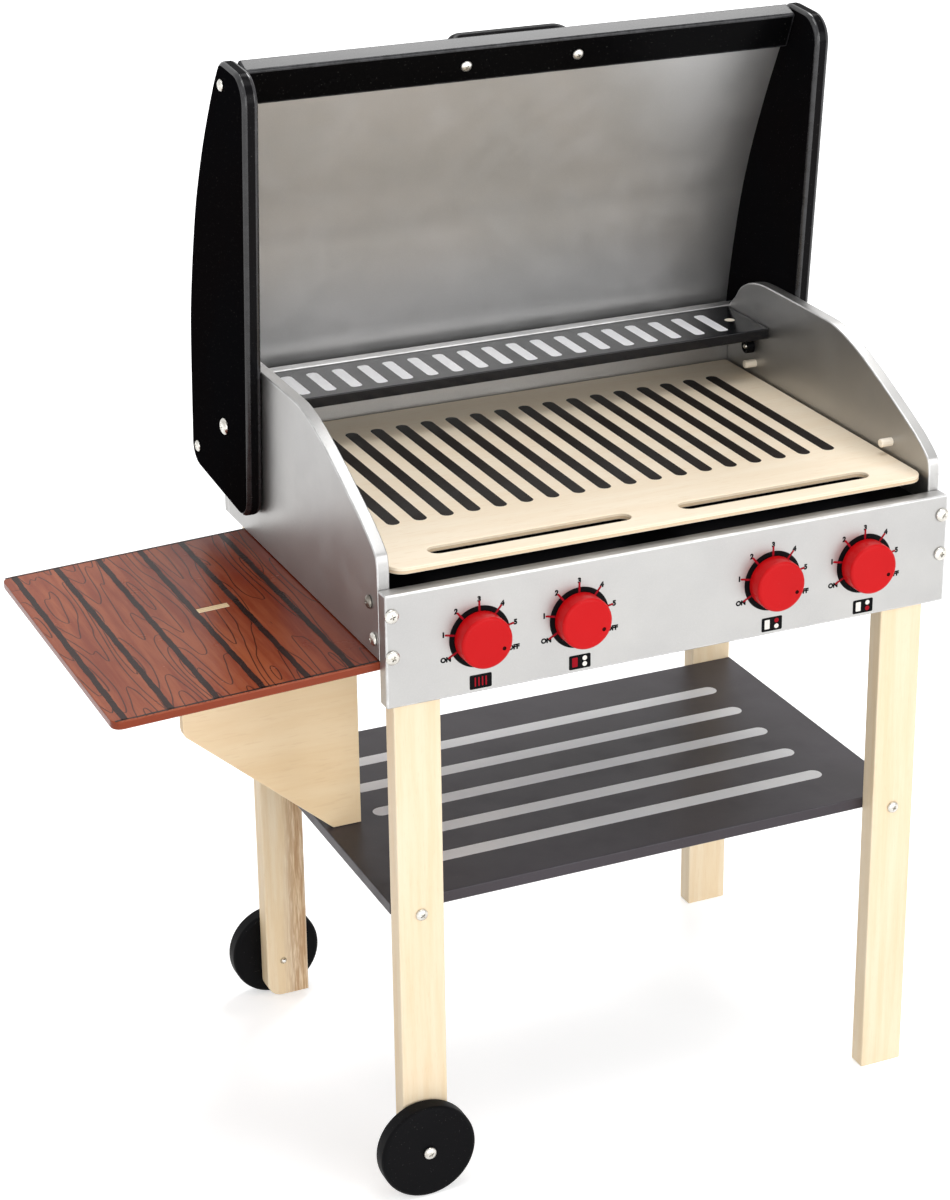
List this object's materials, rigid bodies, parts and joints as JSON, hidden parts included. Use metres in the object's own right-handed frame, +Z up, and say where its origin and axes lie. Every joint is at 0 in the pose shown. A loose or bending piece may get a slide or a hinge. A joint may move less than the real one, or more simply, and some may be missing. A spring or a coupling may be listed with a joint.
{
  "type": "toy barbecue grill",
  "caption": "Wooden toy barbecue grill on legs and wheels, with a hinged lid, turning knobs, sliding grate, warming rack, side tray and lower shelf.",
  "frame": {"origin": "middle of the whole grill's box, on the ground", "axes": "+X to the grill's right seen from its front, +Y from the knobs to the back, +Z up"},
  "size_m": [0.5271, 0.3054, 0.6439],
  "materials": {
    "silver_paint": "satin silver paint on plywood",
    "black_paint": "satin black paint on wood",
    "pale_wood": "clear matt lacquer on pale solid wood",
    "plywood": "clear matt lacquer on pale plywood",
    "tray_stain": "red-brown stain and gloss lacquer on plywood",
    "rack_lacquer": "dark lacquer with pale printed bars",
    "shelf_lacquer": "dark gloss lacquer with pale printed stripes",
    "knob_red": "red gloss paint on wood",
    "wheel_black": "satin black paint on wood",
    "handle_black": "smooth black",
    "steel": "bright zinc"
  },
  "bodies": {
    "root": {"front_panel": "silver_paint", "side_panel_left": "silver_paint", "side_panel_right": "silver_paint", "back_panel": "silver_paint", "firebox_floor": "black_paint", "rear_rail": "pale_wood", "warming_rack": "rack_lacquer", "rack_dowel_left": "pale_wood", "rack_dowel_right": "pale_wood", "leg_front_left": "pale_wood", "leg_front_right": "pale_wood", "leg_rear_left": "pale_wood", "leg_rear_right": "pale_wood", "lower_shelf": "shelf_lacquer", "side_tray": "tray_stain", "tray_bracket": "plywood", "peg_upper_front_left": "pale_wood", "peg_upper_front_right": "pale_wood", "peg_upper_rear_left": "pale_wood", "peg_upper_rear_right": "pale_wood", "peg_lower_front_left": "pale_wood", "peg_lower_front_right": "pale_wood", "peg_lower_rear_left": "pale_wood", "peg_lower_rear_right": "pale_wood", "panel_screw_upper_left": "steel", "panel_screw_upper_right": "steel", "panel_screw_lower_left": "steel", "panel_screw_lower_right": "steel", "floor_screw_left": "steel", "floor_screw_right": "steel", "leg_screw_left": "steel", "leg_screw_right": "steel", "shelf_screw_front_left": "steel", "shelf_screw_front_right": "steel", "shelf_screw_rear_left": "steel", "shelf_screw_rear_right": "steel", "wheel_axle_front": "steel", "wheel_axle_rear": "steel", "hinge_bolt_left": "steel", "hinge_bolt_right": "steel"},
    "lid": {"lid_plate_left": "black_paint", "lid_plate_right": "black_paint", "lid_skin": "silver_paint", "lid_front_board": "black_paint", "lid_rear_rail": "black_paint", "lid_handle": "handle_black", "handle_screw_left": "steel", "handle_screw_right": "steel", "lid_screw_front_left": "steel", "lid_screw_front_right": "steel", "lid_screw_rear_left": "steel", "lid_screw_rear_right": "steel"},
    "grate": {"grate": "plywood"},
    "knob_1": {"knob_1": "knob_red"},
    "knob_2": {"knob_2": "knob_red"},
    "knob_3": {"knob_3": "knob_red"},
    "knob_4": {"knob_4": "knob_red"},
    "wheel_front": {"wheel_front": "wheel_black"},
    "wheel_rear": {"wheel_rear": "wheel_black"}
  },
  "joints": [
    {"name": "lid_hinge", "type": "hinge", "parent": "root", "child": "lid", "pos_m": [0.06975, 0.08386, 0.4174], "axis": [1, 0, 0], "range_deg": [0, 81]},
    {"name": "grate_slide", "type": "slide", "parent": "root", "child": "grate", "axis": [0, -1, 0], "range_m": [0, 0.18]},
    {"name": "knob_1_turn", "type": "hinge", "parent": "root", "child": "knob_1", "pos_m": [-0.05395, -0.14184, 0.35545], "axis": [0, -1, 0], "range_deg": [0, 234]},
    {"name": "knob_2_turn", "type": "hinge", "parent": "root", "child": "knob_2", "pos_m": [0.00755, -0.14184, 0.35545], "axis": [0, -1, 0], "range_deg": [0, 234]},
    {"name": "knob_3_turn", "type": "hinge", "parent": "root", "child": "knob_3", "pos_m": [0.13195, -0.14184, 0.35545], "axis": [0, -1, 0], "range_deg": [0, 234]},
    {"name": "knob_4_turn", "type": "hinge", "parent": "root", "child": "knob_4", "pos_m": [0.19345, -0.14184, 0.35545], "axis": [0, -1, 0], "range_deg": [0, 234]},
    {"name": "wheel_front_spin", "type": "hinge", "parent": "root", "child": "wheel_front", "pos_m": [-0.0911, -0.13784, 0.03], "axis": [0, 1, 0], "continuous": true},
    {"name": "wheel_rear_spin", "type": "hinge", "parent": "root", "child": "wheel_rear", "pos_m": [-0.0911, 0.12266, 0.03], "axis": [0, 1, 0], "continuous": true}
  ]
}
